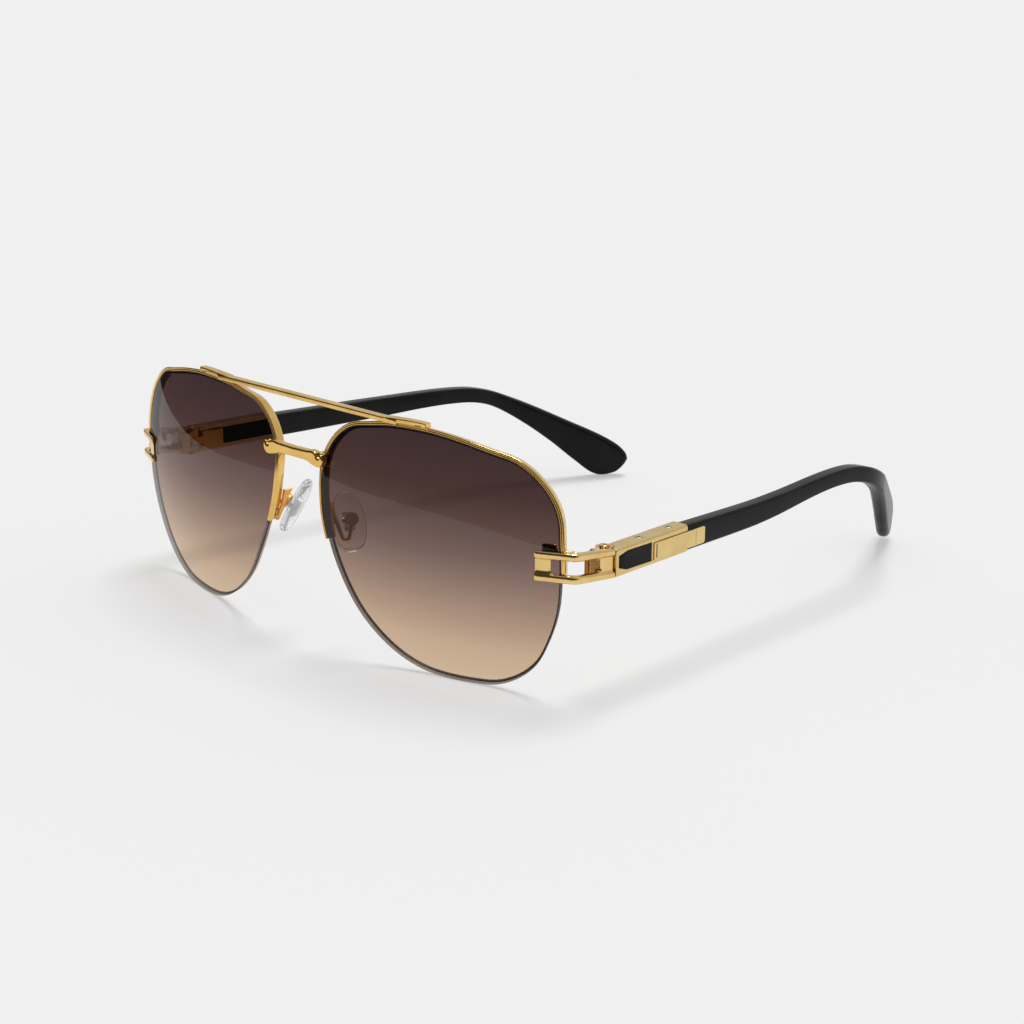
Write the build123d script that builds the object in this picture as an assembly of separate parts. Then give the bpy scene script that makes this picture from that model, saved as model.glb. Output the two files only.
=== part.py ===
from build123d import *
import os
from math import cos, radians, sin, tan

# Semi-rimless aviator sunglasses, millimetres, +Z up, the front looking along -Y.
# Everything is laid out in the frame of the front: x = 0 is the middle of the bridge, +X is the
# wearer's left, and the left side is modelled and mirrored to give the right side.

# ---- lenses -------------------------------------------------------------------------------
LENS_RADIUS = 97.5          # front surface, about base 5.5
LENS_THICK = 2.0
LENS_WRAP = 11.3            # each lens turns back by this many degrees
LENS_TILT = 1.2             # pantoscopic tilt
LENS_X = 38.1               # centre of a lens from the middle of the bridge
LENS_Z = 26.9
LENS_OUTLINE = [            # (towards the temple, up), about the centre of the lens
    (29.9, 4.0), (27.7, 16.0), (21.9, 21.9), (11.0, 25.2), (-4.0, 27.1), (-15.2, 26.3),
    (-23.9, 23.8), (-29.3, 16.9), (-29.8, 8.0), (-25.3, -6.8), (-17.9, -17.9), (-6.8, -25.3),
    (7.2, -27.0), (15.1, -26.1), (22.0, -22.0), (27.9, -12.0),
]
GROOVE_DEPTH = 0.55
GROOVE_WIDTH = 0.6
GROOVE_AT = 1.0             # middle of the groove, behind the front surface

# ---- rims and the nylon lines ---------------------------------------------------------------
RIM_GAP = 0.03              # lens edge to rim
RIM_WALL = 0.85
RIM_PROUD = 0.25            # how far the rim stands in front of and behind the lens
RIM_BOTTOM = -1.0           # height of the rim's two ends, about the centre of the lens
RIB = 0.42                  # the rim's inner rib, which holds the lens by its groove
LINE_SIZE = 0.5

# ---- brow bar and bridge ---------------------------------------------------------------------
BAR_HALF = 28.6
BAR_Y = (1.05, 2.95)
BAR_Z = (54.35, 55.55)
BLOCK_RISE = 1.9            # the raised ends that lie along the rims
BLOCK_PLAN = [(25.0, 1.05), (28.4, 1.1), (36.2, 2.25), (36.2, 3.9), (28.4, 2.95), (25.0, 2.95)]
BRIDGE_Y = (-2.55, -0.75)
BRIDGE_Z = 43.8             # middle of the bridge

# ---- end pieces and hinges -------------------------------------------------------------------
ARM_START = (61.9, 7.15)    # inner front corner of the forked bracket, seen from above
ARM_SLOPE = 25.0
ARM_SIDE = 70.2             # outer face
ARM_BEND = 2.0              # radius of its outer corner
JOINT_Y = 23.5              # where the end piece meets the temple
ARM_TOP = [(4.0, 33.2), (11.3, 33.2), (JOINT_Y, 31.4)]
ARM_BOTTOM = [(4.0, 26.6), (11.3, 26.6), (JOINT_Y, 25.1)]
RAIL_HEIGHT = 1.6
RAIL_PROUD = 0.5
RAIL_DEPTH = 2.0
STRIP = 0.3                # band between each rail and the window
WINDOW_X = 64.9             # inner end of the window
BLOCK_Y = 19.2              # front of the solid block that carries the hinge
BLOCK_IN = 66.3
HINGE_X = 66.9
KNUCKLE = 1.9
KNUCKLE_LEVELS = [25.2, 27.25, 29.3, 31.35]
RUNNING_GAP = 0.06
SCREW_SHANK = 0.6
SCREW_HEAD = 1.1
HEAD_RISE = 0.4
HEAD_DEPTH = 0.5
RELIEF = 0.15               # room around a turning knuckle

# ---- temples --------------------------------------------------------------------------------
HOUSING_X = (66.2, 70.2)
HOUSING_Y = (JOINT_Y + 0.1, 47.0)
HOUSING_Z = (25.1, 31.3)
SOCKET_OUT = 69.0           # the socket is open towards the head
SOCKET_Z = (26.2, 30.3)
SOCKET_FRONT = 28.0
FIT = 0.03                  # gap between pieces that are fixed together
INLAY = [(24.4, 27.1), (27.1, 26.2), (35.1, 26.1), (35.1, 30.2), (27.1, 30.3), (24.4, 29.7)]
INLAY_X = (69.35, 70.05)
PANEL_X = (69.95, 70.5)
PANEL_Y = (35.6, 52.6)      # its rear end is a tongue that lies over the black temple
PANEL_Z = (26.1, 29.9)
SCREW_Y = (33.4, 43.1)
SCREW_X = 67.8
OPEN_LEFT = -0.6            # degrees folded in from straight, as the glasses stand
OPEN_RIGHT = 9.2
TEMPLE_X = 68.1             # middle of the temple's thickness
TEMPLE_HALF = 1.85
EAR_BEND = 98.0             # from the hinge to where the ear part turns inwards
EAR_TURN = 27.5
EAR_RADIUS = 25.0
TEMPLE_OUTLINE = [           # (behind the hinge, up), anticlockwise from the front
    (-12.0, 25.2), (22.0, 25.2), (36.5, 25.1), (53.0, 25.2), (68.0, 25.7), (81.0, 25.6),
    (90.3, 24.3), (97.4, 21.3), (104.5, 16.2), (111.0, 10.4), (116.2, 5.2), (119.8, 1.3),
    (124.1, 0.1), (128.7, 1.8), (130.4, 5.0), (128.1, 8.4), (122.8, 12.0), (114.7, 16.6),
    (106.6, 21.2), (99.5, 24.8), (93.4, 27.3), (86.3, 29.0), (76.0, 29.8), (59.9, 30.1),
    (41.5, 30.5), (22.0, 31.0), (-12.0, 31.0),
]
CORE_ROUTE = [(1.2, 10.0, 28.2), (1.2, 95.5, 27.3), (-10.5, 121.0, 7.4)]
CORE_TURN = 30.0
CORE_RADIUS = 0.6

# ---- nose pads --------------------------------------------------------------------------------
PAD_CENTRE = (8.6, 5.9, 27.9)
PAD_DOWN = (0.409, -0.212, -0.89)   # from the top of the left pad to its bottom
PAD_SPLAY = 28.0
PAD_LENGTH = 13.8
PAD_WIDTH = 7.6
PAD_Z = (-1.1, 1.3)         # back and contact face, along the pad's own normal
BOX_RADIUS = 1.55
BOX_Z = (-3.4, -1.75)
PIVOT_Z = -2.45
PIVOT_RADIUS = 0.33
WIRE = 0.5
WIRE_ROUTE = [(7.2, 2.2, 31.8), (10.7, 2.1, 25.2), (11.7, 3.1, 25.2)]
PAD_CLEAR = 1.75            # behind the pad's middle, where its bracket is cut away


def block(x0, x1, y0, y1, z0, z1):
    return Pos((x0 + x1) / 2, (y0 + y1) / 2, (z0 + z1) / 2) * Box(x1 - x0, y1 - y0, z1 - z0)


def post(x, y, z0, z1, radius):
    return Pos(x, y, (z0 + z1) / 2) * Cylinder(radius, z1 - z0)


def other_side(shape):
    return mirror(shape, about=Plane.YZ)


def tangent_arcs(points, grow=0.0):
    """A closed face of tangent arcs in the XZ plane: two arcs between every pair of points."""
    points = [Vector(x, 0, z) for x, z in points]
    tangents = []
    for before, here, after in zip(points[-1:] + points[:-1], points, points[1:] + points[:1]):
        a, b = here - before, after - here
        tangents.append((a * (b.length / a.length) + b * (a.length / b.length)).normalized())
    ends = []
    for i, here in enumerate(points):
        after = points[(i + 1) % len(points)]
        start, finish = tangents[i], tangents[(i + 1) % len(points)]
        chord, both = after - here, start + finish
        k = 2 * (1 - start.dot(finish))
        reach = ((chord.dot(both) ** 2 + k * chord.dot(chord)) ** 0.5 - chord.dot(both)) / k
        first, second = here + start * reach, after - finish * reach
        ends += [(here, start), ((first + second) / 2, (second - first).normalized())]
    ends = [(p + Vector(t.Z, 0, -t.X) * grow, t) for p, t in ends]
    arcs = [TangentArc(p, q, tangent=t) for (p, t), (q, _) in zip(ends, ends[1:] + ends[:1])]
    return make_face(arcs)


# ---- lens, rim and line, in the lens's own frame: x to the temple, y back, z up -------------------
LENS_AT = Pos(LENS_X, 0, LENS_Z) * Rot(LENS_TILT, 0, 0) * Rot(0, 0, LENS_WRAP)


def prism(grow):
    """The lens outline, grown outwards, as a solid along the depth of the lens."""
    return extrude(tangent_arcs(LENS_OUTLINE, grow), amount=25, dir=(0, 1, 0), both=True)


def layer(front, back):
    """The space between two spheres, given as depths behind the front surface."""
    middle = Pos(0, LENS_RADIUS, 0)
    return middle * Sphere(LENS_RADIUS - front) - middle * Sphere(LENS_RADIUS - back)


def lens():
    near, far = GROOVE_AT - GROOVE_WIDTH / 2, GROOVE_AT + GROOVE_WIDTH / 2
    groove = (prism(1.0) - prism(-GROOVE_DEPTH)) & layer(near, far)
    return LENS_AT * ((prism(0) & layer(0, LENS_THICK)) - groove)


def rim():
    wall = (prism(RIM_WALL) - prism(RIM_GAP)) & layer(-RIM_PROUD, LENS_THICK + RIM_PROUD)
    rib_half = GROOVE_WIDTH / 2 - 0.05
    rib = (prism(RIM_GAP + 0.2) - prism(-RIB)) & layer(GROOVE_AT - rib_half, GROOVE_AT + rib_half)
    upper = block(-40, 40, -10, 30, RIM_BOTTOM, 40)
    holes = [Pos(-29, GROOVE_AT + 4.4, v) * Rot(0, 90, 0) * Cylinder(0.25, 6) for v in (0.4, 1.5)]
    return LENS_AT * ((wall + rib) & upper) - [LENS_AT * hole for hole in holes]


def nylon_line():
    half = LINE_SIZE / 2
    ring = (prism(0.14) - prism(-LINE_SIZE)) & layer(GROOVE_AT - half, GROOVE_AT + half)
    return LENS_AT * (ring & block(-40, 40, -10, 30, -40, RIM_BOTTOM - 0.02))


def rim_space():
    """What other parts keep clear of: the lens and the rim with a hair of room."""
    ring = (prism(RIM_WALL + 0.02) - prism(-0.1)) & layer(-RIM_PROUD - 0.02, LENS_THICK + RIM_PROUD + 0.02)
    glass = prism(0.02) & layer(-0.08, LENS_THICK + 0.08)
    return LENS_AT * (ring + glass)


def brow_bar(space):
    bar = block(-BAR_HALF, BAR_HALF, *BAR_Y, *BAR_Z)
    bar = fillet(bar.edges().filter_by(Axis.X), 0.25)
    band = LENS_AT * (prism(BLOCK_RISE) - prism(RIM_WALL + 0.02))
    plan = make_face(Polyline(*BLOCK_PLAN, close=True))
    end = band & (Pos(0, 0, 50) * extrude(plan, amount=10, dir=(0, 0, 1)))
    notch = block(33.4, 35.2, 0, 2.2, 55.0, 55.2) + block(34.9, 35.2, 0, 2.4, 54.3, 55.2)
    end = end - notch
    return bar + end + other_side(end) - space - other_side(space)


def bridge(space):
    """A flat bar in front of the rims, with a hook at each end over the rim's front."""
    y0, y1 = BRIDGE_Y
    side = []
    upper = [(5.0, BRIDGE_Z + 1.3), (6.6, BRIDGE_Z + 1.45), (7.6, BRIDGE_Z + 0.9),
             (7.9, BRIDGE_Z + 0.1), (8.35, BRIDGE_Z + 0.1), (8.5, BRIDGE_Z + 0.8)]
    hook = [(8.5, BRIDGE_Z + 0.8), (9.0, BRIDGE_Z + 0.95), (9.5, BRIDGE_Z), (9.1, BRIDGE_Z - 1.5),
            (7.6, BRIDGE_Z - 2.05)]
    lower = [(7.6, BRIDGE_Z - 2.05), (5.8, BRIDGE_Z - 1.65), (4.4, BRIDGE_Z - 1.15)]
    for run in (upper, hook, lower):
        side.append(Spline(*[(x, 0, z) for x, z in run]))
    side.append(Polyline((4.4, 0, BRIDGE_Z - 1.15), (0, 0, BRIDGE_Z - 1.1), (0, 0, BRIDGE_Z + 1.15),
                         (5.0, 0, BRIDGE_Z + 1.3)))
    half = extrude(make_face(side), amount=8, dir=(0, 1, 0), both=True)
    half = half & block(0, 12, y0, y1, 30, 60)
    root = block(6.4, 8.6, y1 - 0.3, 1.2, BRIDGE_Z - 1.6, BRIDGE_Z + 0.9)
    half = half + root - space
    return half + other_side(half)


# ---- end piece, from above: a line along the lens, a corner and a line back to the hinge ----------
def arm_path(depth):
    slope = radians(ARM_SLOPE)
    x0 = ARM_START[0] - depth * sin(slope)
    y0 = ARM_START[1] + depth * cos(slope)
    x1 = ARM_SIDE - depth
    corner = (x1, y0 + (x1 - x0) * tan(slope))
    return [(x0, y0), corner, (x1, JOINT_Y)]


def arm_band(depth0, depth1, z0=20, z1=40):
    outer, inner = arm_path(depth0), arm_path(depth1)
    walls = [
        FilletPolyline(*outer, radius=max(0.3, ARM_BEND - depth0)),
        FilletPolyline(*inner, radius=max(0.3, ARM_BEND - depth1)),
        Line(outer[0], inner[0]),
        Line(outer[-1], inner[-1]),
    ]
    return Pos(0, 0, z0) * extrude(make_face(walls), amount=z1 - z0, dir=(0, 0, 1))


def arm_side(lower, upper, reach=JOINT_Y):
    """Side view of the bracket, from a height above its bottom edge to one below its top edge."""
    top = [(0, y, z - upper) for y, z in ARM_TOP]
    bottom = [(0, y, z + lower) for y, z in ARM_BOTTOM]
    face = make_face(Polyline(*top, *reversed(bottom), close=True))
    return extrude(face, amount=80, dir=(1, 0, 0)) & block(0, 80, 0, reach, 0, 60)


def arm_rail(lower, upper):
    return arm_band(0, RAIL_DEPTH) & arm_side(lower, upper)


def end_piece(space):
    tall = ARM_TOP[0][1] - ARM_BOTTOM[0][1]
    edge = RAIL_HEIGHT + STRIP
    plate = arm_band(RAIL_PROUD, RAIL_PROUD + 0.9) & arm_side(0.3, 0.3)
    window = arm_side(edge, edge, BLOCK_Y) & block(WINDOW_X, 80, 0, 30, 0, 60)
    plate = plate - window
    rails = arm_rail(tall - RAIL_HEIGHT, 0) + arm_rail(0, tall - RAIL_HEIGHT - 0.1)
    root = block(BLOCK_IN, ARM_SIDE - RAIL_PROUD, BLOCK_Y, JOINT_Y, 20, 40) & arm_side(0.15, 0.15)
    tab = block(24.5, 31.8, -5, 30, 4.3, 5.4) + block(24.5, 27.6, -5, 30, 4.3, 6.7)
    tab = LENS_AT * (layer(2.5, 3.3) & tab)
    body = plate + rails + root - space
    body = body + tab + (block(67.0, 68.9, 11.0, 15.5, 31.4, 32.6) & arm_side(1.2, 0.6))
    body = body - space
    bottom, low, high, top = KNUCKLE_LEVELS
    body = body - post(HINGE_X, JOINT_Y, 20, low, KNUCKLE + 0.02)
    body = body - post(HINGE_X, JOINT_Y, high, 40, KNUCKLE + 0.02)
    return body - post(HINGE_X, JOINT_Y, low - 0.01, high + 0.01, KNUCKLE + RELIEF)


# ---- hinge: two front knuckles, one temple knuckle between them and a screw ------------------------
def hinge_front():
    bottom, low, high, top = KNUCKLE_LEVELS
    leaf = block(65.25, BLOCK_IN - 0.02, BLOCK_Y, JOINT_Y - 1.0, bottom + 0.6, top - 0.6)
    body = leaf + post(HINGE_X, JOINT_Y, bottom, low, KNUCKLE)
    body = body + post(HINGE_X, JOINT_Y, high, top, KNUCKLE)
    body = body - post(HINGE_X, JOINT_Y, low, high, KNUCKLE + RELIEF)
    body = body - block(60, 70, JOINT_Y - KNUCKLE, JOINT_Y, low, high)
    body = body - post(HINGE_X, JOINT_Y, 20, 40, SCREW_SHANK + 0.01)
    return body - post(HINGE_X, JOINT_Y, top - HEAD_DEPTH, 40, SCREW_HEAD + 0.02)


def hinge_temple():
    bottom, low, high, top = KNUCKLE_LEVELS
    low, high = low + RUNNING_GAP, high - RUNNING_GAP
    inner = HOUSING_X[0] - 0.02
    neck = block(65.25, inner, JOINT_Y, JOINT_Y + 4, low, high)
    leaf = block(65.25, inner, JOINT_Y + KNUCKLE + 0.25, JOINT_Y + 8, bottom + 0.9, top - 1.1)
    body = neck + leaf + post(HINGE_X, JOINT_Y, low, high, KNUCKLE)
    return body - post(HINGE_X, JOINT_Y, 20, 40, SCREW_SHANK + 0.05)


def hinge_screw():
    top = KNUCKLE_LEVELS[3] + HEAD_RISE
    seat = KNUCKLE_LEVELS[3] - HEAD_DEPTH
    head = post(HINGE_X, JOINT_Y, seat, top, SCREW_HEAD)
    head = fillet(head.edges().group_by(Axis.Z)[-1], 0.25)
    slot = block(HINGE_X - 2, HINGE_X + 2, JOINT_Y - 0.15, JOINT_Y + 0.15, top - 0.3, top + 1)
    return head - slot + post(HINGE_X, JOINT_Y, KNUCKLE_LEVELS[0] + 0.1, seat, SCREW_SHANK)


# ---- temple: a gold housing, its trim and screws, and the black temple in its socket ---------------
def temple_housing():
    shell = block(*HOUSING_X, *HOUSING_Y, *HOUSING_Z)
    outer = shell.edges().filter_by(Axis.Y).group_by(Axis.X)[-1]
    shell = chamfer(outer, 0.4)
    shell = shell - block(60, SOCKET_OUT, SOCKET_FRONT, 50, *SOCKET_Z)
    shell = shell - extrude_side(INLAY, INLAY_X[0] - FIT, 75)
    y0, y1 = PANEL_Y
    shell = shell - block(PANEL_X[0] - FIT, 75, y0 - FIT, y1, PANEL_Z[0] - FIT, PANEL_Z[1] + FIT)
    for y in SCREW_Y:
        shell = shell - post(SCREW_X, y, 29, 40, 0.47)
        shell = shell - post(SCREW_X, y, HOUSING_Z[1] - 0.4, 40, 0.87)
    return shell - post(HINGE_X, JOINT_Y, 20, 40, KNUCKLE + RELIEF)


def extrude_side(outline, x0, x1):
    """A side view outline, (y, z), as a solid from x0 to x1."""
    face = make_face(Polyline(*[(x0, y, z) for y, z in outline], close=True))
    return extrude(face, amount=x1 - x0, dir=(1, 0, 0))


def housing_inlay():
    plate = extrude_side(INLAY, *INLAY_X)
    y0 = INLAY[0][0]
    ramp = [(INLAY_X[1] - 0.5, y0, 0), (80, y0, 0), (80, y0 + 2.2, 0), (INLAY_X[1], y0 + 2.2, 0)]
    return plate - extrude(make_face(Polyline(*ramp, close=True)), amount=60, dir=(0, 0, 1))


def housing_panel():
    plate = block(*PANEL_X, *PANEL_Y, *PANEL_Z)
    corners = plate.edges().filter_by(Axis.X).group_by(Axis.Y)[-1]
    plate = fillet(corners, 0.6)
    slit = block(60, 80, PANEL_Y[0] + 0.6, PANEL_Y[0] + 0.9, PANEL_Z[0] + 0.5, PANEL_Z[1] - 0.3)
    line = block(PANEL_X[1] - 0.15, 80, 49.4, 49.6, PANEL_Z[0] + 0.4, PANEL_Z[1] - 0.4)
    return plate - slit - line


def housing_screws():
    screws = []
    for y in SCREW_Y:
        top = HOUSING_Z[1] + 0.03
        head = post(SCREW_X, y, HOUSING_Z[1] - 0.37, top, 0.85)
        cross = block(SCREW_X - 0.5, SCREW_X + 0.5, y - 0.12, y + 0.12, top - 0.25, 40)
        cross = cross + block(SCREW_X - 0.12, SCREW_X + 0.12, y - 0.5, y + 0.5, top - 0.25, 40)
        screws.append(head - cross + post(SCREW_X, y, 29.0, HOUSING_Z[1] - 0.37, 0.45))
    return Compound(screws)


def core_wire(radius):
    points = [(HINGE_X + x, JOINT_Y + along, z) for x, along, z in CORE_ROUTE]
    path = FilletPolyline(*points, radius=CORE_TURN)
    return sweep(Plane(origin=path @ 0, z_dir=path % 0) * Circle(radius), path=path)


def plan_band():
    """The temple from above: straight, then turned in at the ear."""
    turn = radians(EAR_TURN)
    sides = []
    for half in (TEMPLE_HALF, -TEMPLE_HALF):
        start = (TEMPLE_X + half, JOINT_Y + 15)
        corner = (TEMPLE_X + half, JOINT_Y + EAR_BEND + half * tan(turn / 2))
        end = (corner[0] - 45 * sin(turn), corner[1] + 45 * cos(turn))
        sides.append(FilletPolyline(start, corner, end, radius=EAR_RADIUS + half))
    outer, inner = sides
    walls = [outer, inner, Line(outer @ 0, inner @ 0), Line(outer @ 1, inner @ 1)]
    return extrude(make_face(walls), amount=60, dir=(0, 0, 1))


def temple():
    side = Pos(0, JOINT_Y, 0) * Rot(0, 0, 90) * extrude(
        tangent_arcs(TEMPLE_OUTLINE), amount=100, dir=(0, 1, 0), both=True)
    body = (side & plan_band()) & block(0, 100, HOUSING_Y[1] + FIT, 200, -1, 60)
    tenon = block(HOUSING_X[0] + FIT, SOCKET_OUT - FIT, SOCKET_FRONT + 0.3, HOUSING_Y[1] + 1,
                  SOCKET_Z[0] + FIT, SOCKET_Z[1] - FIT)
    body = body + tenon - core_wire(CORE_RADIUS + 0.02)
    for y in SCREW_Y:
        body = body - post(SCREW_X, y, 28.85, 40, 0.47)
    return body


# ---- nose pads, in the pad's own frame: x down the pad, z towards the nose --------------------------
def pad_location():
    down = Vector(*PAD_DOWN).normalized()
    c, s = cos(radians(PAD_SPLAY)), sin(radians(PAD_SPLAY))
    normal = Vector(-c, s, (c * down.X - s * down.Y) / down.Z)
    return Plane(origin=PAD_CENTRE, x_dir=down, z_dir=normal).location


def across(y0, y1, radius):
    """A rod along the pad's pivot, from y0 to y1."""
    return Pos(0, (y0 + y1) / 2, PIVOT_Z) * Rot(90, 0, 0) * Cylinder(radius, y1 - y0)


def pad_insert():
    plate = block(-2.1, 2.1, -1.2, 1.2, -0.3, 0.3)
    stud = block(-0.5, 0.5, -0.55, 0.55, -2.9, 0)
    return plate + stud - across(-3, 3, PIVOT_RADIUS + 0.03)


def nose_pad():
    a, b = PAD_LENGTH / 2, PAD_WIDTH / 2
    edge = [
        ThreePointArc((-0.72 * a, -0.86 * b), (0, -b), (0.72 * a, -0.86 * b)),
        ThreePointArc((0.72 * a, -0.86 * b), (a, 0), (0.72 * a, 0.86 * b)),
        ThreePointArc((0.72 * a, 0.86 * b), (0, b), (-0.72 * a, 0.86 * b)),
        ThreePointArc((-0.72 * a, 0.86 * b), (-a, 0), (-0.72 * a, -0.86 * b)),
    ]
    face = make_face(edge)
    face = fillet(face.vertices(), 1.5)
    z0, z1 = PAD_Z
    pad = Pos(0, 0, z0) * extrude(face, amount=z1 - z0, dir=(0, 0, 1))
    pad = fillet(pad.edges().group_by(Axis.Z)[-1], 1.0)
    pad = fillet(pad.edges().group_by(Axis.Z)[0], 0.4)
    return pad - block(-2.1, 2.1, -1.2, 1.2, -0.3, 0.3) - block(-0.5, 0.5, -0.55, 0.55, -2, 0)


def pad_box():
    z0, z1 = BOX_Z
    cup = Pos(0, 0, (z0 + z1) / 2) * Cylinder(BOX_RADIUS, z1 - z0)
    cup = cup - block(-1.15, 1.15, -0.62, 0.62, z0 + 0.25, 0)
    return cup - across(-3, 3, PIVOT_RADIUS + 0.01)


def pad_screw():
    return across(-1.5, 1.6, PIVOT_RADIUS) + across(1.6, 2.1, 0.6)


def pad_arm(space):
    plate = (prism(RIM_WALL) - prism(0.1)) & layer(LENS_THICK + RIM_PROUD + 0.02, 4.3)
    plate = LENS_AT * (plate & block(-40, 0, -10, 30, -0.9, 6.0))
    plate = plate - pad_location() * block(-9, 9, -9, 9, -PAD_CLEAR, 9)
    joint = (pad_location() * Pos(BOX_RADIUS - 0.2, 0, (BOX_Z[0] + BOX_Z[1]) / 2)).position
    path = FilletPolyline(*WIRE_ROUTE, joint, radius=0.65)
    wire = sweep(Plane(origin=path @ 0, z_dir=path % 0) * Circle(WIRE), path=path)
    cup = pad_location() * Pos(0, 0, (BOX_Z[0] + BOX_Z[1]) / 2) * Cylinder(BOX_RADIUS + 0.01, 1.7)
    return (plate + wire) - cup - space


# ---- the whole -------------------------------------------------------------------------------------
def turned(shape, angle):
    """A left temple part, folded in by an angle about the hinge."""
    return Pos(HINGE_X, JOINT_Y, 0) * Rot(0, 0, angle) * Pos(-HINGE_X, -JOINT_Y, 0) * shape


def assemble():
    space = rim_space()
    at_pad = pad_location()
    paired = {
        "lens": lens(),
        "rim": rim(),
        "nylon_line": nylon_line(),
        "end_piece": end_piece(space),
        "hinge_front": hinge_front(),
        "hinge_screw": hinge_screw(),
        "pad_arm": pad_arm(space),
        "pad_box": at_pad * pad_box(),
        "pad_screw": at_pad * pad_screw(),
        "pad_insert": at_pad * pad_insert(),
        "nose_pad": at_pad * nose_pad(),
    }
    folding = {
        "hinge_temple": hinge_temple(),
        "temple_housing": temple_housing(),
        "housing_inlay": housing_inlay(),
        "housing_panel": housing_panel(),
        "housing_screws": housing_screws(),
        "temple": temple(),
        "temple_core": core_wire(CORE_RADIUS),
    }
    nodes = {"brow_bar": brow_bar(space), "bridge": bridge(space)}
    for name, shape in paired.items():
        nodes[name + "_left"] = shape
        nodes[name + "_right"] = other_side(shape)
    for name, shape in folding.items():
        nodes[name + "_left"] = turned(shape, OPEN_LEFT)
        nodes[name + "_right"] = other_side(turned(shape, OPEN_RIGHT))
    return nodes


def main():
    os.makedirs("parts", exist_ok=True)
    nodes = assemble()
    boxes = [shape.bounding_box() for shape in nodes.values()]
    middle_y = (min(box.min.Y for box in boxes) + max(box.max.Y for box in boxes)) / 2
    floor = min(box.min.Z for box in boxes)
    print("front frame to part frame: y", -middle_y, "z", -floor)
    for name, shape in nodes.items():
        export_step(Pos(0, -middle_y, -floor) * shape, f"parts/{name}.step")


if __name__ == "__main__":
    main()
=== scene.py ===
from math import asin, atan2, cos, pi, radians, sin, sqrt, tan

import bmesh
import bpy
from mathutils import Matrix, Vector
from mathutils.geometry import interpolate_bezier


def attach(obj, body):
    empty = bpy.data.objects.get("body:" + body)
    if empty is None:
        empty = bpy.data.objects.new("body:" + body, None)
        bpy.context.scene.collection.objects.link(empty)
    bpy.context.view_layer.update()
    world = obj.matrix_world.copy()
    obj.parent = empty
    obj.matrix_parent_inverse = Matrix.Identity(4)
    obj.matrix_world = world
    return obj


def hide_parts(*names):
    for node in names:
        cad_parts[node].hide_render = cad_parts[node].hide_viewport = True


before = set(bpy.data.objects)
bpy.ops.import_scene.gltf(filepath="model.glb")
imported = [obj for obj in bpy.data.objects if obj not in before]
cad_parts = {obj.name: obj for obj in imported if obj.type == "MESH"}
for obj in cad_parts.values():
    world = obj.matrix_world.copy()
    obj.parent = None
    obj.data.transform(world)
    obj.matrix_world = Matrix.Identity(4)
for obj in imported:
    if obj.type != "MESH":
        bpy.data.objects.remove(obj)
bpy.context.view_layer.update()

MM = 0.001
SIDES = (("left", 1), ("right", -1))

# ---- the layout of the front, in millimetres, as the CAD has it ------------------------------
FRONT_AT = Vector((0, -75.7646, 0.1436))     # the front's own origin in the part's frame
LENS_RADIUS = 97.5
LENS_THICK = 2.0
LENS_WRAP, LENS_TILT = 11.3, 1.2
LENS_X, LENS_Z = 38.1, 26.9
LENS_OUTLINE = [
    (29.9, 4.0), (27.7, 16.0), (21.9, 21.9), (11.0, 25.2), (-4.0, 27.1), (-15.2, 26.3),
    (-23.9, 23.8), (-29.3, 16.9), (-29.8, 8.0), (-25.3, -6.8), (-17.9, -17.9), (-6.8, -25.3),
    (7.2, -27.0), (15.1, -26.1), (22.0, -22.0), (27.9, -12.0),
]
RIM_END = -1.0
HINGE = Vector((66.9, 23.5, 0))
OPEN = {"left": -0.6, "right": 9.2}
EAR_BEND, EAR_TURN, EAR_RADIUS = 98.0, radians(27.5), 25.0
TEMPLE_X = 68.1


# ---- materials -------------------------------------------------------------------------------
class Nodes:
    """A short way to wire a node material."""

    def __init__(self, name):
        self.mat = bpy.data.materials.new(name)
        self.mat.use_nodes = True
        self.tree = self.mat.node_tree
        self.tree.nodes.clear()
        self.out = self.tree.nodes.new("ShaderNodeOutputMaterial")

    def add(self, kind, **inputs):
        node = self.tree.nodes.new("ShaderNode" + kind)
        for key, value in inputs.items():
            socket = node.inputs[key.replace("_", " ")]
            if hasattr(value, "is_output"):
                self.tree.links.new(value, socket)
            else:
                socket.default_value = value
        return node

    def ramp(self, fac, stops):
        node = self.tree.nodes.new("ShaderNodeValToRGB")
        self.tree.links.new(fac, node.inputs[0])
        points = node.color_ramp.elements
        while len(points) < len(stops):
            points.new(0.5)
        for point, (at, colour) in zip(points, stops):
            point.position = at
            point.color = (*colour, 1) if len(colour) == 3 else colour
        return node.outputs[0]

    def value(self, fac, low, high):
        node = self.add("MapRange", Value=fac, To_Min=low, To_Max=high)
        return node.outputs[0]

    def noise(self, scale, detail=3.0, stretch=(1, 1, 1)):
        place = self.add("TexCoord").outputs["Object"]
        mapping = self.add("Mapping", Vector=place, Scale=stretch)
        noise = self.add("TexNoise", Vector=mapping.outputs[0], Scale=scale, Detail=detail)
        return noise.outputs[0]

    def bump(self, height, distance, strength=1.0):
        return self.add("Bump", Height=height, Distance=distance, Strength=strength).outputs[0]

    def done(self, shader):
        self.tree.links.new(shader, self.out.inputs[0])
        return self.mat


def gold(name, deep=(0.76, 0.46, 0.12), bright=(0.90, 0.60, 0.20), rough=(0.09, 0.18)):
    n = Nodes(name)
    patches = n.noise(160, 4)
    fine = n.noise(2600, 5, (1, 0.25, 1))
    colour = n.ramp(patches, [(0.3, deep), (0.7, bright)])
    shader = n.add("BsdfPrincipled", Base_Color=colour, Metallic=1.0,
                   Roughness=n.value(n.noise(700, 6), *rough), Normal=n.bump(fine, 0.0000022))
    return n.done(shader.outputs[0])


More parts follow.
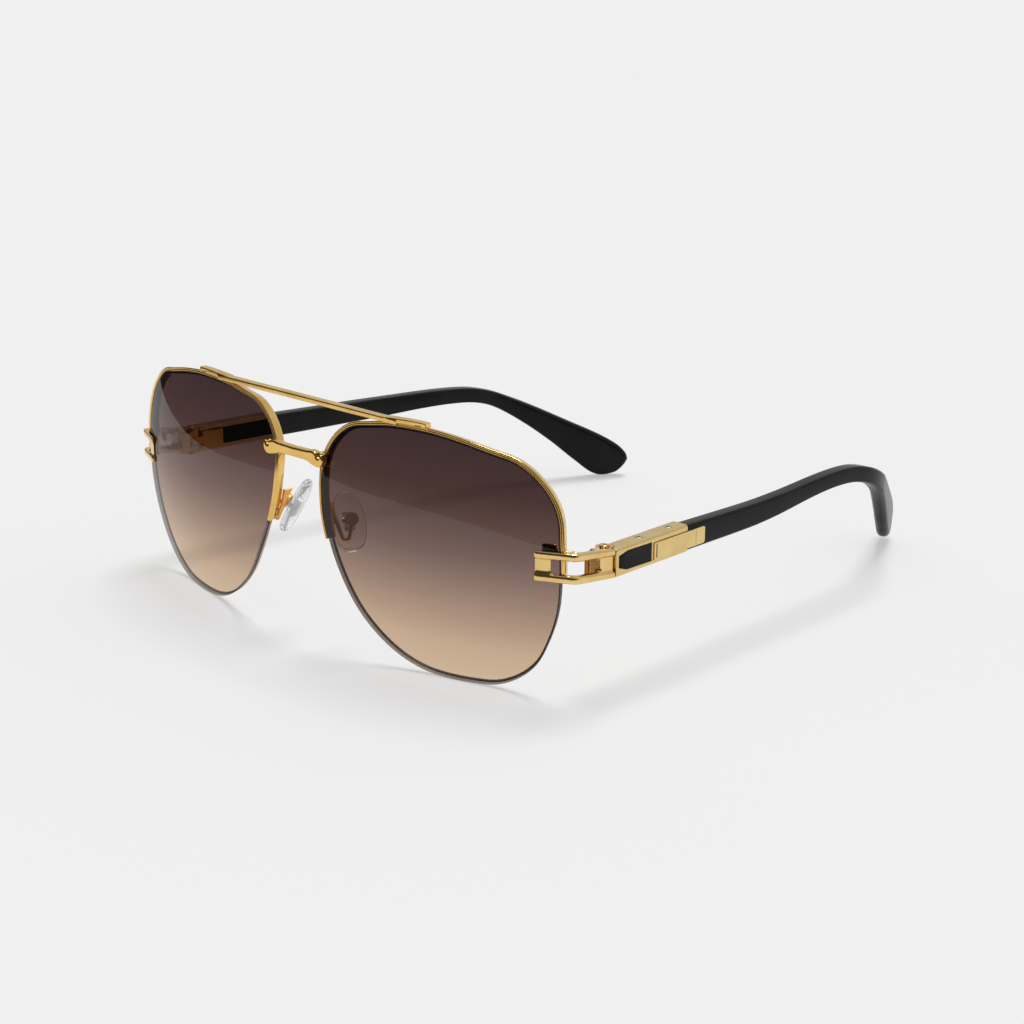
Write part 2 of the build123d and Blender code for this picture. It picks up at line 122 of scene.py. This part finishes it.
def plastic(name, dark, light, rough, grain=1800, coat=0.0, alpha=1.0, gloss=0.12):
    n = Nodes(name)
    colour = n.ramp(n.noise(90, 4), [(0.3, dark), (0.75, light)])
    shader = n.add("BsdfPrincipled", Base_Color=colour, Roughness=n.value(n.noise(420, 5), *rough),
                   Normal=n.bump(n.noise(grain, 4), 0.0000015), Coat_Weight=coat,
                   Coat_Roughness=0.12, Specular_IOR_Level=gloss, Alpha=alpha)
    return n.done(shader.outputs[0])


COATING = 0.5       # how much of the bare glass's gloss the lens's coating leaves


def tinted(name):
    """Brown at the top, tan at the bottom; the light passes two such surfaces."""
    n = Nodes(name)
    height = n.add("SeparateXYZ", Vector=n.add("TexCoord").outputs["Object"]).outputs[2]
    at = n.add("MapRange", Value=height)
    at.inputs["From Min"].default_value = 0.001
    at.inputs["From Max"].default_value = 0.054
    tint = n.ramp(at.outputs[0], [
        (0.0, (0.84, 0.73, 0.61)), (0.14, (0.80, 0.68, 0.56)), (0.32, (0.64, 0.53, 0.455)),
        (0.55, (0.43, 0.335, 0.31)), (0.78, (0.285, 0.21, 0.20)), (1.0, (0.235, 0.175, 0.18))])
    pale = n.add("BsdfTransparent", Color=(0.84, 0.84, 0.85, 1))
    clear = n.add("MixShader", Fac=n.add("LightPath").outputs["Is Shadow Ray"])
    n.tree.links.new(n.add("BsdfTransparent", Color=tint).outputs[0], clear.inputs[1])
    n.tree.links.new(pale.outputs[0], clear.inputs[2])
    gloss = n.add("BsdfGlossy", Color=(1, 1, 1, 1), Roughness=0.01)
    outside = n.add("Math", Value=n.add("NewGeometry").outputs["Backfacing"])
    outside.operation = "MULTIPLY_ADD"
    outside.inputs[1].default_value = -COATING
    outside.inputs[2].default_value = COATING
    facing = n.add("Math", Value=n.add("Fresnel", IOR=1.5).outputs[0])
    facing.operation = "MULTIPLY"
    n.tree.links.new(outside.outputs[0], facing.inputs[1])
    mixed = n.add("MixShader", Fac=facing.outputs[0])
    n.tree.links.new(clear.outputs[0], mixed.inputs[1])
    n.tree.links.new(gloss.outputs[0], mixed.inputs[2])
    return n.done(mixed.outputs[0])


def translucent(name, colour, rough, transmission, ior=1.42):
    n = Nodes(name)
    lighter = tuple(min(1, c * 1.06) for c in colour)
    shade = n.ramp(n.noise(220, 4), [(0.3, colour), (0.75, lighter)])
    glass = n.add("BsdfPrincipled", Base_Color=shade, Roughness=rough, IOR=ior,
                  Transmission_Weight=transmission, Normal=n.bump(n.noise(900, 4), 0.000004))
    shadow = n.add("BsdfTransparent", Color=(*[0.9 * c for c in colour], 1))
    mixed = n.add("MixShader", Fac=n.add("LightPath").outputs["Is Shadow Ray"])
    n.tree.links.new(glass.outputs[0], mixed.inputs[1])
    n.tree.links.new(shadow.outputs[0], mixed.inputs[2])
    return n.done(mixed.outputs[0])


GOLD = gold("gold_polish")
GOLD_WARM = gold("gold_warm", (0.70, 0.38, 0.08), (0.86, 0.52, 0.15), (0.08, 0.16))
GOLD_PALE = gold("gold_satin", (0.71, 0.51, 0.20), (0.80, 0.61, 0.28), (0.2, 0.3))
GOLD_PLATE = gold("gold_plate", (0.74, 0.49, 0.17), (0.86, 0.62, 0.26), (0.1, 0.18))
GOLD_BRUSHED = gold("gold_brushed", (0.86, 0.44, 0.10), (0.97, 0.58, 0.19), (0.38, 0.5))
SCREW = gold("screw_steel", (0.42, 0.42, 0.4), (0.62, 0.61, 0.57), (0.16, 0.3))
STEEL = gold("wire_steel", (0.72, 0.72, 0.73), (0.86, 0.86, 0.87), (0.4, 0.5))
BLACK = plastic("acetate_black", (0.006, 0.006, 0.007), (0.012, 0.012, 0.014), (0.2, 0.3))
INLAY = plastic("enamel_black", (0.008, 0.008, 0.009), (0.018, 0.018, 0.02), (0.2, 0.32))
LENS = tinted("lens_tint")
# Painted shade: the lens's groove walls are coloured dark and half opaque, standing in for the
# shade and the rim's dark reflection seen through the glass.
LENS_GROOVE_SHADE = plastic("lens_groove_painted_shade", (0.07, 0.05, 0.042), (0.11, 0.083, 0.07), (0.25, 0.4),
                    alpha=0.7)
LENS_BAND = plastic("lens_edge_ground", (0.22, 0.175, 0.15), (0.30, 0.25, 0.22), (0.4, 0.6),
                    alpha=0.75)
LINE = plastic("nylon_dark", (0.045, 0.036, 0.032), (0.08, 0.066, 0.058), (0.25, 0.4))
PAD = translucent("silicone_clear", (0.93, 0.93, 0.94), 0.22, 0.9)


# ---- small geometry helpers ------------------------------------------------------------------
SAME_POINT, SAME_CAD_POINT = 1e-7, 2e-6
CREASE = 34         # degrees: CAD edges sharper than this stay sharp


def piece(name, verts, faces, materials, body, nodes, indices=None, smooth=40):
    mesh = bpy.data.meshes.new(name)
    mesh.from_pydata([Vector(v) * MM for v in verts], [], faces)
    obj = bpy.data.objects.new(name, mesh)
    bpy.context.scene.collection.objects.link(obj)
    for material in materials:
        mesh.materials.append(material)
    if indices:
        mesh.polygons.foreach_set("material_index", indices)
    tidy = bmesh.new()
    tidy.from_mesh(mesh)
    bmesh.ops.remove_doubles(tidy, verts=tidy.verts, dist=SAME_POINT)
    bmesh.ops.recalc_face_normals(tidy, faces=tidy.faces)
    tidy.to_mesh(mesh)
    tidy.free()
    mesh.shade_smooth()
    soften(obj, smooth)
    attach(obj, body)
    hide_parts(*nodes)
    return obj


def soften(obj, angle):
    """Smooth shading that keeps edges sharper than this angle."""
    edges = bmesh.new()
    edges.from_mesh(obj.data)
    for edge in edges.edges:
        edge.smooth = edge.calc_face_angle(0) < radians(angle)
    edges.to_mesh(obj.data)
    edges.free()


def biarc_outline(points, step=1.2):
    """The closed curve of two tangent arcs between every pair of points, as a row of points."""
    points = [Vector(p) for p in points]
    tangents = []
    for before, here, after in zip(points[-1:] + points[:-1], points, points[1:] + points[:1]):
        a, b = here - before, after - here
        tangents.append((a * (b.length / a.length) + b * (a.length / b.length)).normalized())
    run = []
    for i, here in enumerate(points):
        j = (i + 1) % len(points)
        after, start, finish = points[j], tangents[i], tangents[j]
        chord, both = after - here, start + finish
        k = 2 * (1 - start.dot(finish))
        if k < 1e-9:
            run.append(here)
            continue
        reach = (sqrt(chord.dot(both) ** 2 + k * chord.dot(chord)) - chord.dot(both)) / k
        first, second = here + start * reach, after - finish * reach
        middle = (first + second) / 2
        run += arc(here, start, middle, step)
        run += arc(middle, (second - first).normalized(), after, step)
    return run


def arc(start, tangent, end, step):
    """Points from start up to, but not including, end, on the arc that leaves along tangent."""
    chord = end - start
    turn = 2 * atan2(tangent.x * chord.y - tangent.y * chord.x, tangent.dot(chord))
    count = max(2, int(chord.length / step))
    points = []
    for i in range(count):
        t = i / count
        half = turn * t / 2
        reach = chord.length * (t if abs(turn) < 1e-6 else sin(half) / sin(turn / 2))
        direction = Matrix.Rotation(half - turn / 2, 2) @ chord.normalized()
        points.append(start + direction * reach)
    return points


# ---- lens, rim and nylon line ----------------------------------------------------------------
def lens_to_part(side):
    wrap = Matrix.Rotation(radians(LENS_WRAP), 4, "Z")
    tilt = Matrix.Rotation(radians(LENS_TILT), 4, "X")
    place = Matrix.Translation((LENS_X, 0, LENS_Z)) @ tilt @ wrap
    flip = Matrix.Diagonal((side, 1, 1, 1))
    return Matrix.Translation(FRONT_AT) @ flip @ place


def on_lens(u, v, depth=0.0):
    """A point this far behind the front surface, along the surface's own normal."""
    radius = LENS_RADIUS - depth
    point = Vector((u, -sqrt(LENS_RADIUS ** 2 - u * u - v * v), v)) * (radius / LENS_RADIUS)
    return point + Vector((0, LENS_RADIUS, 0))


OUTLINE = biarc_outline(LENS_OUTLINE)


def outward(i):
    before, after = OUTLINE[i - 1], OUTLINE[(i + 1) % len(OUTLINE)]
    along = (after - before).normalized()
    return Vector((along.y, -along.x))


def edge_point(i, out, depth):
    """A point beside the lens's edge: out from the outline, behind the front surface."""
    flat = OUTLINE[i] + outward(i) * out
    return on_lens(flat.x, flat.y, depth)


# the rings across the lens's two faces, as shares of the outline
LENS_SCALES = [0.12, 0.3, 0.5, 0.68, 0.82, 0.92, 0.975]
LENS_PROFILE = [    # out, depth and material: 0 glass, 1 painted shade in the groove, 2 ground
    (-0.16, 0.0, 2), (-0.04, 0.03, 2), (0.0, 0.14, 2), (0.0, 0.68, 1), (-0.5, 0.76, 1),
    (-0.5, 1.24, 1), (0.0, 1.32, 0), (0.0, 1.88, 0), (-0.05, 1.97, 0), (-0.16, 2.0, 0),
]


def make_lens(side_name, side):
    place = lens_to_part(side)
    count = len(OUTLINE)
    rings, kinds = [], []
    for s in LENS_SCALES:
        rings.append([on_lens(p.x * s, p.y * s) for p in OUTLINE])
        kinds.append(0)
    for out, depth, kind in LENS_PROFILE:
        rings.append([edge_point(i, out, depth) for i in range(count)])
        kinds.append(kind)
    for s in reversed(LENS_SCALES):
        rings.append([on_lens(p.x * s, p.y * s, LENS_THICK) for p in OUTLINE])
        kinds.append(0)
    kinds[len(LENS_SCALES) + len(LENS_PROFILE) - 1] = 0
    verts = [place @ p for ring in rings for p in ring]
    faces, indices = [], []
    for r in range(len(rings) - 1):
        for i in range(count):
            j = (i + 1) % count
            faces.append((r * count + i, r * count + j, (r + 1) * count + j, (r + 1) * count + i))
            indices.append(kinds[r])
    last = (len(rings) - 1) * count
    for start, depth in ((0, 0.0), (last, LENS_THICK)):
        verts.append(place @ on_lens(0, 0, depth))
        for i in range(count):
            faces.append((start + i, start + (i + 1) % count, len(verts) - 1))
            indices.append(0)
    piece(f"lens_glass_{side_name}", verts, faces, [LENS, LENS_GROOVE_SHADE, LENS_BAND], "front",
          [f"lens_{side_name}"], indices, 30)


def tube(rings, sides, start=0):
    """The faces of a closed run of rings with this many sides, its two ends included."""
    faces = []
    for s in range(rings - 1):
        for k in range(sides):
            q = (k + 1) % sides
            a, b = start + s * sides, start + (s + 1) * sides
            faces.append((a + k, a + q, b + q, b + k))
    last = start + (rings - 1) * sides
    return faces + [tuple(range(start, start + sides)), tuple(range(last, last + sides))]


def sweep(place, stations, profile):
    """A solid along the lens's edge, of (out, depth) profile points at some outline indices."""
    verts = [place @ edge_point(i, out, depth) for i in stations for out, depth in profile]
    return verts, tube(len(stations), len(profile))


def upper_stations():
    high = [i for i, p in enumerate(OUTLINE) if p.y >= RIM_END]
    first = next(i for i in high if OUTLINE[i - 1].y < RIM_END)
    return [(first + k) % len(OUTLINE) for k in range(len(high))]


def lower_stations():
    low = [i for i, p in enumerate(OUTLINE) if p.y < RIM_END]
    first = next(i for i in low if OUTLINE[i - 1].y >= RIM_END)
    return [(first + k) % len(OUTLINE) for k in range(-1, len(low) + 1)]


RIM_PROFILE = [
    (0.04, -0.10), (0.09, -0.20), (0.16, -0.235), (0.36, -0.235), (0.42, -0.17), (0.48, -0.235),
    (0.68, -0.235), (0.78, -0.19), (0.83, -0.08), (0.83, 2.08), (0.78, 2.19), (0.68, 2.235),
    (0.16, 2.235), (0.07, 2.2), (0.04, 2.1), (0.04, 1.25), (-0.36, 1.2), (-0.36, 0.8), (0.04, 0.75),
]


def make_rim(side_name, side):
    verts, faces = sweep(lens_to_part(side), upper_stations(), RIM_PROFILE)
    piece(f"rim_wire_{side_name}", verts, faces, [GOLD], "front",
          [f"rim_{side_name}"], smooth=50)


LINE_SIDES, LINE_OUT, LINE_HALF = 10, -0.22, (0.24, 0.22)
LINE_HOLES = (0.1, 1.6)     # heights where the line comes out through the rim's nasal end
HOLE_RADIUS, HOLE_DEPTH, HOLE_SIDES = 0.28, 1.35, 12
HOLE_REACH = (-0.2, 0.87)   # from the groove to just outside the rim


def make_line(side_name, side):
    ring = []
    for k in range(LINE_SIDES):
        a = 2 * pi * k / LINE_SIDES
        ring.append((LINE_OUT + LINE_HALF[0] * cos(a), LENS_THICK / 2 + LINE_HALF[1] * sin(a)))
    place = lens_to_part(side)
    verts, faces = sweep(place, lower_stations(), ring)
    for v in LINE_HOLES:
        i = min((i for i, p in enumerate(OUTLINE) if p.x < 0), key=lambda i: abs(OUTLINE[i].y - v))
        along = (OUTLINE[i] - OUTLINE[i - 1]).normalized()
        faces += tube(len(HOLE_REACH), HOLE_SIDES, len(verts))
        for out in HOLE_REACH:
            for k in range(HOLE_SIDES):
                a = 2 * pi * k / HOLE_SIDES
                flat = OUTLINE[i] + outward(i) * out + along * HOLE_RADIUS * cos(a)
                verts.append(place @ on_lens(flat.x, flat.y, HOLE_DEPTH + HOLE_RADIUS * sin(a)))
    piece(f"lens_line_{side_name}", verts, faces, [LINE], "front",
          [f"nylon_line_{side_name}"], smooth=60)


# ---- temples ---------------------------------------------------------------------------------
TOP_EDGE = [
    (23.6, 31.0), (41.5, 30.5), (59.9, 30.1), (76.0, 29.8), (86.3, 29.0), (93.4, 27.3),
    (99.5, 24.8), (106.6, 21.2), (114.7, 16.6), (122.8, 12.0), (127.5, 8.7), (129.6, 6.3),
    (130.2, 4.6),
]
LOW_EDGE = [
    (23.6, 25.2), (40.0, 25.1), (56.0, 25.2), (70.0, 25.7), (80.0, 25.6), (88.0, 24.7),
    (95.0, 22.4), (102.5, 17.7), (110.0, 11.3), (116.5, 4.9), (121.9, 0.5), (126.6, 0.7),
    (129.5, 3.1),
]


EDGE_STEPS = 9
HALF_WIDTH, EAR_THINNER = 1.8, 0.25
CORNER, EAR_ROUNDER = 0.75, 0.6


def spline(points, count):
    """A smooth run through the points, Catmull-Rom as Bezier spans."""
    points = [Vector((x, y, 0)) for x, y in points]
    run = []
    spans = len(points) - 1
    for i in range(spans):
        p0, p1 = points[max(i - 1, 0)], points[i]
        p2, p3 = points[i + 1], points[min(i + 2, spans)]
        scale = (p2 - p1).length
        a = (p2 - p0).normalized() * scale / 3
        b = (p3 - p1).normalized() * scale / 3
        part = interpolate_bezier(p1, p1 + a, p2 - b, p2, count + 1)
        run += part[:-1]
    return run + [points[-1]]


def plan_offset(along):
    """How far in the middle of the temple is, and its direction, this far behind the hinge."""
    start = EAR_BEND - EAR_RADIUS * tan(EAR_TURN / 2)
    end = start + EAR_RADIUS * sin(EAR_TURN)
    if along < start:
        return 0.0, 0.0
    if along < end:
        angle = asin((along - start) / EAR_RADIUS)
        return EAR_RADIUS * (1 - cos(angle)), angle
    return EAR_RADIUS * (1 - cos(EAR_TURN)) + (along - end) * tan(EAR_TURN), EAR_TURN


def folded(side_name, side):
    """From a straight left temple, in front coordinates, to where it stands."""
    turn = Matrix.Rotation(radians(OPEN[side_name]), 4, "Z")
    about = Matrix.Translation(HINGE) @ turn @ Matrix.Translation(-HINGE)
    return Matrix.Translation(FRONT_AT) @ Matrix.Diagonal((side, 1, 1, 1)) @ about


def section(half, height, corner, count=5):
    """A rounded rectangle, (out, up), anticlockwise."""
    ring = []
    corners = ((half, height, 0), (-half, height, 90), (-half, -height, 180), (half, -height, 270))
    for cx, cy, start in corners:
        c = min(corner, abs(cx) * 0.98, abs(cy) * 0.98)
        x, y = cx - c * (1 if cx > 0 else -1), cy - c * (1 if cy > 0 else -1)
        for k in range(count + 1):
            a = radians(start + 90 * k / count)
            ring.append((x + c * cos(a), y + c * sin(a)))
    return ring


EAR_LIFT = {"left": (2.0, 1.6), "right": (-0.7, 0.0)}     # the temples aren't bent quite alike
# how far behind the hinge each lift starts and is complete
BEND_LIFTS, TIP_LIFTS = (45, 90), (95, 125)


def share(value, start, end):
    """How far a value is on its way from start to end, 0 to 1."""
    return min(1, max(0, (value - start) / (end - start)))


def eased(t):
    return t * t * (3 - 2 * t)


def ear_lift(side_name, along):
    """How far above the CAD's temple this one stands, at this distance behind the hinge."""
    bend, tip = EAR_LIFT[side_name]
    return bend * eased(share(along, *BEND_LIFTS)) + (tip - bend) * eased(share(along, *TIP_LIFTS))


def make_temple(side_name, side):
    place = folded(side_name, side)
    upper, lower = spline(TOP_EDGE, EDGE_STEPS), spline(LOW_EDGE, EDGE_STEPS)
    count = len(upper)
    verts, n = [], 0
    for i, (top, low) in enumerate(zip(upper, lower)):
        t = i / (count - 1)
        middle, reach = (top + low) / 2, (top - low) / 2
        tail = share(t, 0.9, 1.0)
        half = (HALF_WIDTH - EAR_THINNER * share(t, 0.6, 0.9)) * sqrt(max(0.02, 1 - tail ** 2))
        corner = CORNER + EAR_ROUNDER * share(t, 0.35, 0.75)
        ring = section(half, max(reach.length, 0.12), corner)
        n = len(ring)
        for out, up in ring:
            point = middle + reach.normalized() * up
            inwards, angle = plan_offset(point.x)
            x = TEMPLE_X - inwards + out * cos(angle)
            y = HINGE.y + point.x + out * sin(angle)
            verts.append(place @ Vector((x, y, point.y + ear_lift(side_name, middle.x))))
    piece(f"temple_arm_{side_name}", verts, tube(count, n), [BLACK], f"{side_name}_temple",
          [f"temple_{side_name}", f"temple_core_{side_name}"], smooth=50)


ROOT = (28.4, 47.4)         # the tongue inside the housing, in front view coordinates
ROOT_X, ROOT_Z = (66.32, 68.9), (26.3, 30.2)


def make_root(side_name, side):
    """The temple's tongue, which shows through the housing's open side."""
    place = folded(side_name, side)
    x, z = sum(ROOT_X) / 2, sum(ROOT_Z) / 2
    half, height = (ROOT_X[1] - ROOT_X[0]) / 2, (ROOT_Z[1] - ROOT_Z[0]) / 2
    ends = [(0.0, 0.55), (0.15, 0.25), (0.45, 0.0)]
    stations = [(ROOT[0] + y, inset) for y, inset in ends]
    stations += [(ROOT[1] - y, inset) for y, inset in reversed(ends)]
    verts = []
    for y, inset in stations:
        ring = section(half - inset, height - inset, 0.5)
        verts += [place @ Vector((x + out, y, z + up)) for out, up in ring]
    piece(f"temple_root_{side_name}", verts, tube(len(stations), len(ring)), [BLACK],
          f"{side_name}_temple", [f"temple_{side_name}"], smooth=50)


# ---- nose pads -------------------------------------------------------------------------------
PAD_CENTRE = Vector((8.6, 5.9, 27.9))
PAD_DOWN = Vector((0.409, -0.212, -0.89)).normalized()
PAD_SPLAY = radians(28)
PAD_HALF = (6.85, 3.75)


def pad_axes():
    c, s = cos(PAD_SPLAY), sin(PAD_SPLAY)
    normal = Vector((-c, s, (c * PAD_DOWN.x - s * PAD_DOWN.y) / PAD_DOWN.z)).normalized()
    return PAD_DOWN, normal.cross(PAD_DOWN), normal


def make_pad(side_name, side):
    down, across, normal = pad_axes()
    flip = Matrix.Translation(FRONT_AT) @ Matrix.Diagonal((side, 1, 1, 1))
    layers = [(0.0, -1.0), (0.6, -1.02), (0.86, -0.98), (0.95, -0.8), (0.995, -0.35), (1.0, 0.1),
              (0.985, 0.55), (0.93, 0.9), (0.82, 1.12), (0.6, 1.24), (0.3, 1.28), (0.0, 1.29)]
    count = 48
    verts, faces = [], []
    for scale, z in layers:
        for k in range(count):
            a = 2 * pi * k / count
            x = PAD_HALF[0] * (abs(cos(a)) ** 0.86) * (1 if cos(a) > 0 else -1)
            y = PAD_HALF[1] * (abs(sin(a)) ** 0.8) * (1 if sin(a) > 0 else -1)
            y *= 1 + 0.07 * cos(a)
            point = PAD_CENTRE + down * x * scale + across * y * scale + normal * z
            verts.append(flip @ point)
    for s in range(len(layers) - 1):
        for k in range(count):
            q = (k + 1) % count
            faces.append((s * count + k, s * count + q, (s + 1) * count + q, (s + 1) * count + k))
    piece(f"pad_silicone_{side_name}", verts, faces, [PAD], f"{side_name}_pad",
          [f"nose_pad_{side_name}"], smooth=60)


# ---- metal pieces that keep the CAD's shape and get softened edges ---------------------------
def finished(node, material, body):
    """A copy of a CAD node's mesh in a material, which stands for the node."""
    obj = bpy.data.objects.new(f"{node}_finish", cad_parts[node].data.copy())
    bpy.context.scene.collection.objects.link(obj)
    obj.data.materials.clear()
    obj.data.materials.append(material)
    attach(obj, body)
    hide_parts(node)
    return obj


def bevelled(node, material, body, width):
    """A copy of a CAD node with narrow rounded edges."""
    obj = finished(node, material, body)
    mesh = bmesh.new()
    mesh.from_mesh(obj.data)
    bmesh.ops.remove_doubles(mesh, verts=mesh.verts, dist=SAME_CAD_POINT)
    bmesh.ops.dissolve_limit(mesh, angle_limit=radians(1.5), verts=mesh.verts, edges=mesh.edges)
    bmesh.ops.recalc_face_normals(mesh, faces=mesh.faces)
    mesh.to_mesh(obj.data)
    mesh.free()
    bevel = obj.modifiers.new("soft edges", "BEVEL")
    bevel.limit_method = "ANGLE"
    bevel.angle_limit = radians(28)
    bevel.width = width * MM
    bevel.segments = 3
    bevel.use_clamp_overlap = True
    bevel.harden_normals = True
    obj.data.shade_smooth()
    soften(obj, CREASE)


def rounded(node, material, body, voxel, passes):
    """A copy of a CAD node with all of its edges worn round, as a polished casting has."""
    obj = finished(node, material, body)
    even = obj.modifiers.new("even mesh", "REMESH")
    even.mode = "VOXEL"
    even.voxel_size = voxel * MM
    even.use_smooth_shade = True
    worn = obj.modifiers.new("worn edges", "SMOOTH")
    worn.iterations = passes
    worn.factor = 0.5
    obj.data.shade_smooth()


# ---- build -----------------------------------------------------------------------------------
for side_name, side in SIDES:
    make_lens(side_name, side)
    make_rim(side_name, side)
    make_line(side_name, side)
    make_temple(side_name, side)
    make_root(side_name, side)
    make_pad(side_name, side)
    temple_body = f"{side_name}_temple"
    for node, material, body, slot, width in (
        ("hinge_front", GOLD_WARM, "front", "gold_metal", 0.08),
        ("hinge_screw", GOLD, "front", "gold_screw", 0.03),
        ("pad_screw", SCREW, "front", "gold_screw", 0.04),
        ("pad_insert", STEEL, f"{side_name}_pad", "steel", 0.05),
        ("hinge_temple", GOLD_WARM, temple_body, "gold_metal", 0.08),
        ("housing_inlay", INLAY, temple_body, "black_inlay", 0.06),
        ("housing_panel", GOLD_PALE, temple_body, "gold_metal", 0.06),
        ("housing_screws", SCREW, temple_body, "gold_screw", 0.03),
    ):
        bevelled(f"{node}_{side_name}", material, body, width)
    rounded(f"end_piece_{side_name}", GOLD_PLATE, "front", 0.09, 175)
    rounded(f"pad_arm_{side_name}", GOLD_BRUSHED, "front", 0.06, 40)
    rounded(f"temple_housing_{side_name}", GOLD_PALE, temple_body, 0.1, 7)
    rounded(f"pad_box_{side_name}", GOLD_BRUSHED, "front", 0.08, 4)
rounded("brow_bar", GOLD, "front", 0.09, 8)
rounded("bridge", GOLD, "front", 0.08, 120)


# ---- floor, light and camera -----------------------------------------------------------------
FLOOR_EDGE = [
    (-7000, 9000), (-7000, 2600), (-392, 60), (-320, -10), (-240, -85), (-186, -160), (-120, -215),
    (-75, -236), (-29, -236), (20, -215), (57, -185), (100, -131), (170, -60), (300, 60),
    (3500, 3000), (3500, 9000),
]
FLOOR_LIGHT = (0.87, 0.87, 0.87)


def make_floor():
    n = Nodes("floor_white")
    shade = n.ramp(n.noise(1.5, 2), [(0.3, (0.805, 0.805, 0.805)), (0.7, (0.815, 0.815, 0.815))])
    lit = n.add("BsdfDiffuse", Color=shade).outputs[0]
    glow = n.add("Emission", Color=(*FLOOR_LIGHT, 1), Strength=1.0).outputs[0]
    mixed = n.add("MixShader", Fac=0.5)
    n.tree.links.new(lit, mixed.inputs[1])
    n.tree.links.new(glow, mixed.inputs[2])
    material = n.done(mixed.outputs[0])
    edge = [Vector(p) for p in FLOOR_EDGE]
    mesh = bpy.data.meshes.new("floor")
    verts = [(p.x * MM, (p.y + FRONT_AT.y) * MM, 0) for p in edge]
    mesh.from_pydata(verts, [], [tuple(range(len(edge)))])
    mesh.materials.append(material)
    floor = bpy.data.objects.new("floor", mesh)
    bpy.context.scene.collection.objects.link(floor)


def sun(name, towards, spread, strength):
    light = bpy.data.lights.new(name, "SUN")
    light.angle = radians(spread)
    light.energy = strength
    obj = bpy.data.objects.new(name, light)
    obj.rotation_euler = (-Vector(towards)).to_track_quat("-Z", "Y").to_euler()
    bpy.context.scene.collection.objects.link(obj)
    return obj


def make_world():
    """Bright overhead and behind, dark in front; the camera sees the floor's tone beyond it."""
    world = bpy.data.worlds.new("studio")
    world.use_nodes = True
    tree = world.node_tree
    tree.nodes.clear()

    def add(kind, *links):
        node = tree.nodes.new("ShaderNode" + kind)
        for i, value in enumerate(links):
            if value is None:
                continue
            if hasattr(value, "is_output"):
                tree.links.new(value, node.inputs[i])
            else:
                node.inputs[i].default_value = value
        return node

    split = add("SeparateXYZ", add("TexCoord").outputs["Generated"])
    lift = add("Math", split.outputs[2], 0.9, split.outputs[1])
    lift.operation = "MULTIPLY_ADD"
    ramp = add("ValToRGB", lift.outputs[0])
    stops = ramp.color_ramp.elements
    stops[0].position, stops[0].color = 0.12, (0.10, 0.095, 0.09, 1)
    stops[1].position, stops[1].color = 0.55, (1.0, 1.0, 1.0, 1)
    studio = add("Background", ramp.outputs[0], 0.62)
    beyond = add("Background", (*FLOOR_LIGHT, 1), 1.0)
    seen = add("LightPath").outputs["Is Camera Ray"]
    mixed = add("MixShader", seen, studio.outputs[0], beyond.outputs[0])
    add("OutputWorld", mixed.outputs[0])
    bpy.context.scene.world = world


CAMERA_TURN = (0.7428, 0.3065, 0.0057)      # azimuth, elevation and roll, in radians
CAMERA_TARGET, CAMERA_AWAY = Vector((56.49, 6.59, 40.36)), 428.69
SENSOR, FOCAL_WIDTHS = 36, 2113.56 / 1024   # the focal length, in widths of the picture


def make_camera():
    azimuth, elevation, roll = CAMERA_TURN
    back = Vector((sin(azimuth) * cos(elevation), -cos(azimuth) * cos(elevation), sin(elevation)))
    right = Vector((cos(azimuth), sin(azimuth), 0))
    up = back.cross(right)
    right, up = right * cos(roll) + up * sin(roll), up * cos(roll) - right * sin(roll)
    at = (CAMERA_TARGET + FRONT_AT + back * CAMERA_AWAY) * MM
    camera = bpy.data.cameras.new("camera")
    camera.sensor_width = SENSOR
    camera.lens = FOCAL_WIDTHS * SENSOR
    camera.clip_start = 0.01
    obj = bpy.data.objects.new("camera", camera)
    obj.matrix_world = Matrix((
        (right.x, up.x, back.x, at.x),
        (right.y, up.y, back.y, at.y),
        (right.z, up.z, back.z, at.z),
        (0, 0, 0, 1)))
    bpy.context.scene.collection.objects.link(obj)
    bpy.context.scene.camera = obj


make_floor()
make_world()
sun("overhead", (-0.12, 0.32, 1.0), 24, 2.1)
make_camera()
bpy.context.scene.view_settings.view_transform = "Standard"
